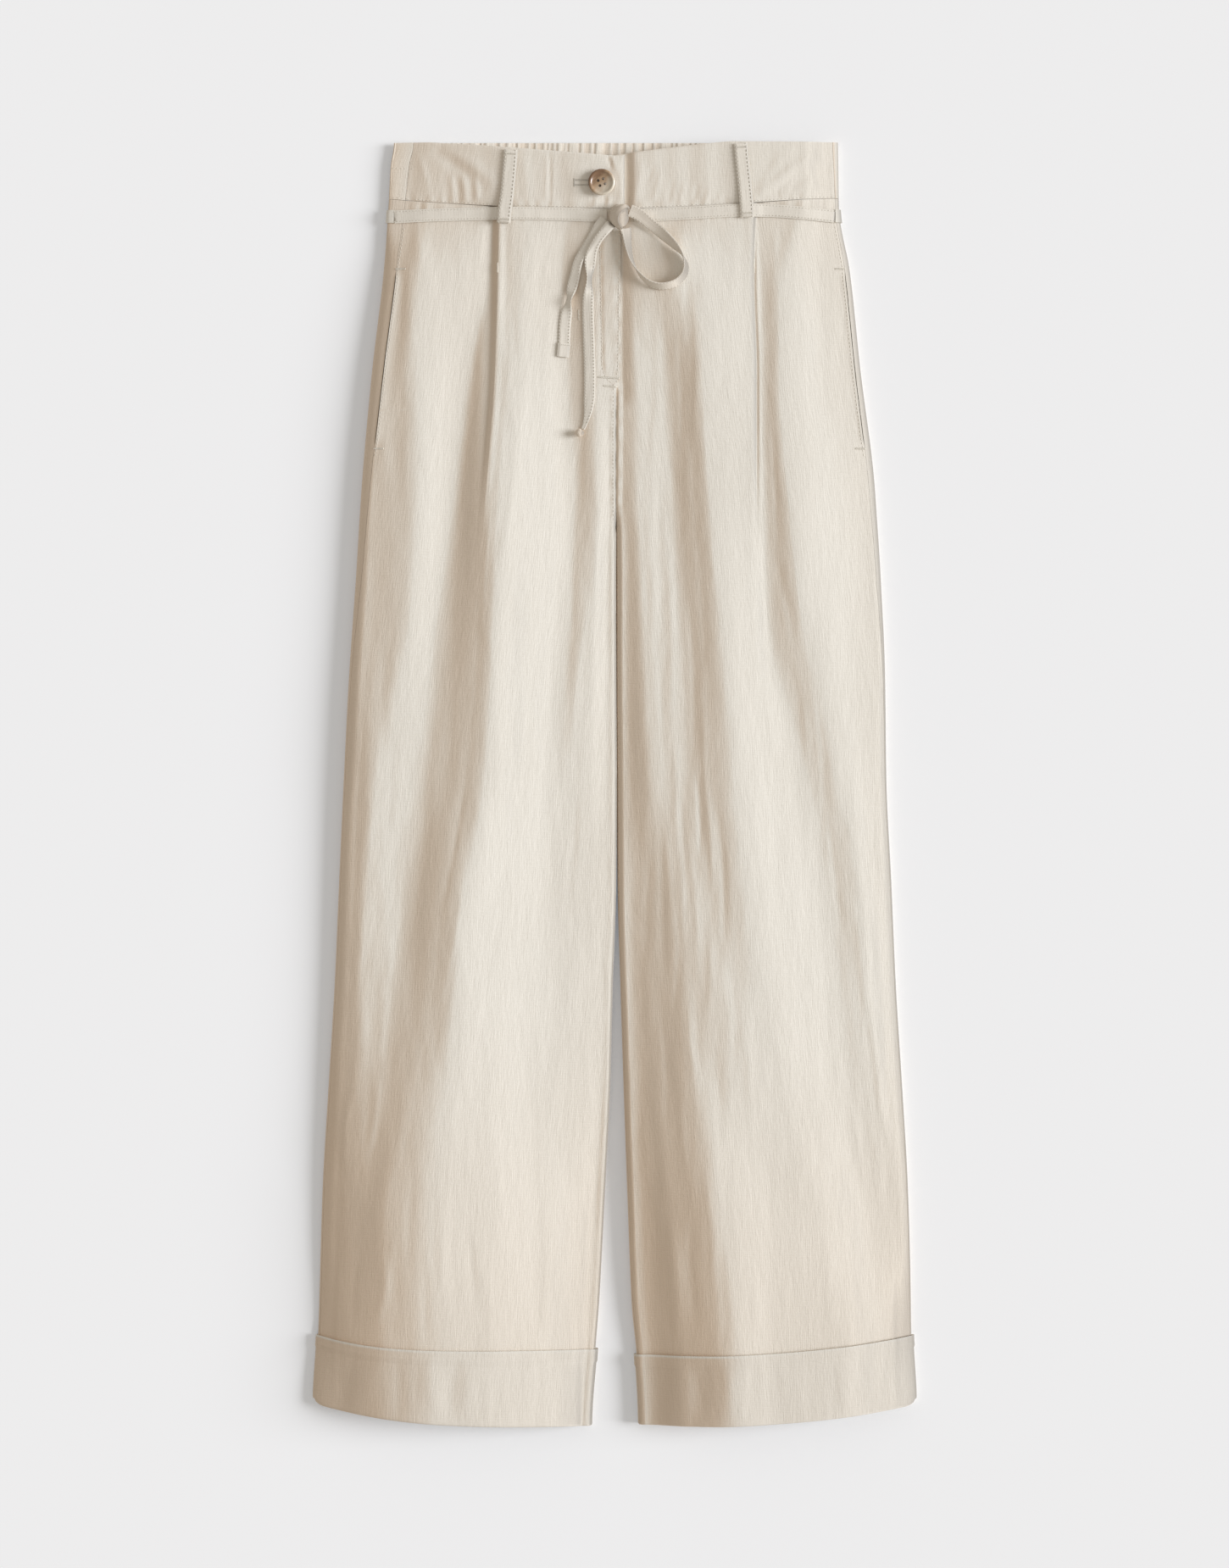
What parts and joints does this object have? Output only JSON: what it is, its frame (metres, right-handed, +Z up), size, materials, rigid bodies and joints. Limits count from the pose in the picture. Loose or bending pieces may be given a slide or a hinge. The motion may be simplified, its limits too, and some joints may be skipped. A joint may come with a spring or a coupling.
{
  "type": "casual trousers",
  "caption": "Wide-leg pleated casual trousers with turn-up hems and a thin tie belt, laid flat with the front side up.",
  "frame": {"origin": "centre of the garment's outline on the surface it lies on", "axes": "+X towards the wearer's left, +Y from the hems to the waist, +Z up out of the front side"},
  "size_m": [0.4891, 1.0381, 0.0283],
  "materials": {
    "linen": "plain-woven linen blend, pale warm beige, soft and matt",
    "pocketing": "plain thin cotton pocketing",
    "tie": "narrow tie of the same linen blend, edge stitched",
    "button": "satin horn-effect button, brown running into cream"
  },
  "bodies": {
    "root": {"front_right": "linen", "front_left": "linen", "back_right": "linen", "back_left": "linen", "waistband_front_right": "linen", "waistband_front_left": "linen", "waistband_back": "linen", "cuff_right": "linen", "cuff_left": "linen", "pocket_bag_right": "pocketing", "pocket_bag_left": "pocketing", "belt_loop_front_right": "linen", "belt_loop_front_left": "linen", "belt_loop_back_right": "linen", "belt_loop_back_centre": "linen", "belt_loop_back_left": "linen", "tie_belt_front_right": "tie", "tie_belt_front_left": "tie", "tie_belt_back": "tie", "tie_knot": "tie", "tie_bow_loop": "tie", "tie_tail_short": "tie", "tie_tail_long": "tie", "tie_end_knot": "tie", "waist_button": "button"}
  },
  "joints": []
}
